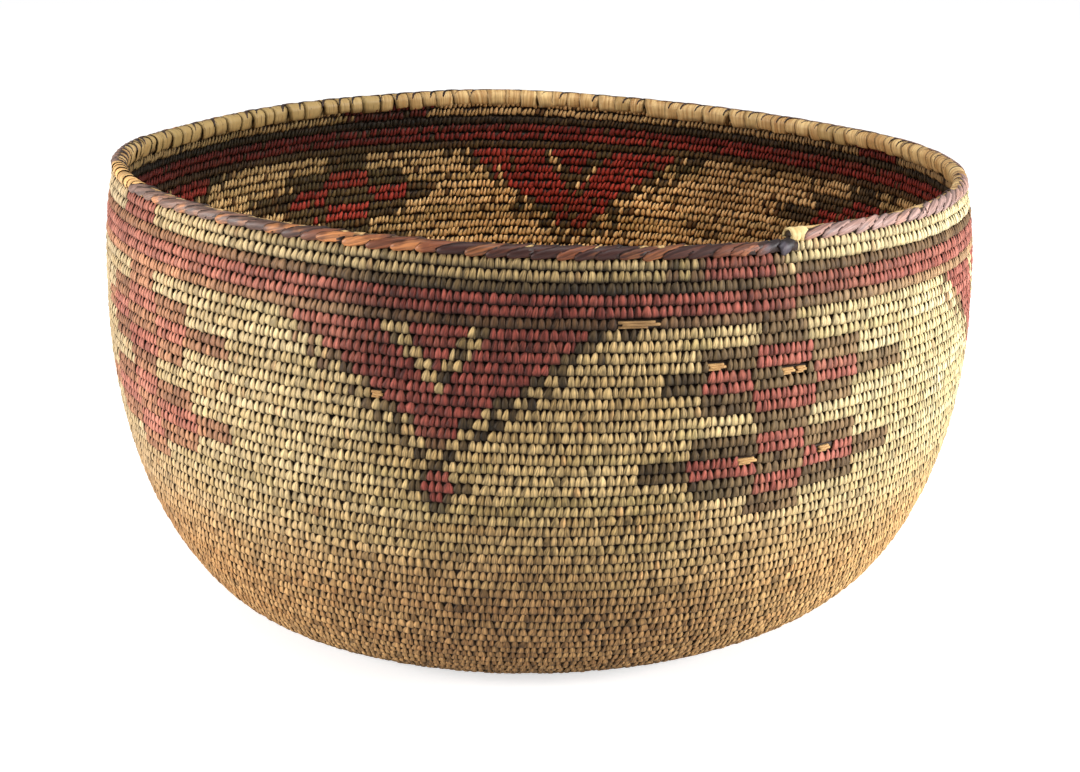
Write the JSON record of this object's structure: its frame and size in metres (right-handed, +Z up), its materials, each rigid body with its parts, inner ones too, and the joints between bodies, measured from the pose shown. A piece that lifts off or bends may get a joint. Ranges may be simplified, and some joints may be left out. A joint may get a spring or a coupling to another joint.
{
  "type": "feast basket",
  "caption": "Deep round coiled basket bowl with a flat base, a wrapped rim, and stepped motifs in red and dark brown on straw.",
  "frame": {"origin": "centre of the base, on the surface that it rests on", "axes": "+Z up through the mouth; the rim's end and the step of the spiral lie 30 degrees to the right of -Y, seen from -Y"},
  "size_m": [0.5001, 0.5, 0.2605],
  "materials": {
    "straw_sewing": "dry split sewing strands, matt with a slight natural sheen",
    "tan_sewing": "worn, darkened sewing strands, matt",
    "red_sewing": "dyed red sewing strands, faded, matt",
    "dark_sewing": "dark brown sewing strands, matt",
    "rim_strap": "broad split strands with a fine lengthwise grain, satin",
    "rim_bark": "dark purple-brown strips, worn to orange on their edges, satin",
    "rod": "peeled rod, satin"
  },
  "bodies": {
    "root": {"upper_field_coil": "straw_sewing", "dark_band_coil": "dark_sewing", "red_band_coil": "red_sewing", "brown_band_coil": "dark_sewing", "motif_field_coil_1": "straw_sewing", "motif_field_coil_2": "straw_sewing", "motif_field_coil_3": "straw_sewing", "motif_field_coil_4": "straw_sewing", "motif_field_coil_5": "straw_sewing", "motif_field_coil_6": "straw_sewing", "lower_wall_coil_1": "straw_sewing", "lower_wall_coil_2": "straw_sewing", "lower_wall_coil_3": "straw_sewing", "lower_wall_coil_4": "straw_sewing", "lower_wall_coil_5": "straw_sewing", "heel_coil_1": "tan_sewing", "heel_coil_2": "tan_sewing", "heel_coil_3": "tan_sewing", "base_coil_1": "tan_sewing", "base_coil_2": "tan_sewing", "base_coil_3": "tan_sewing", "base_coil_4": "tan_sewing", "base_coil_5": "tan_sewing", "start_knot": "tan_sewing", "rim_rod": "rod", "rim_straps": "rim_strap", "rim_end_wrap": "rim_strap", "rim_lashing": "rim_bark", "rim_end_knot": "rim_bark"}
  },
  "joints": []
}
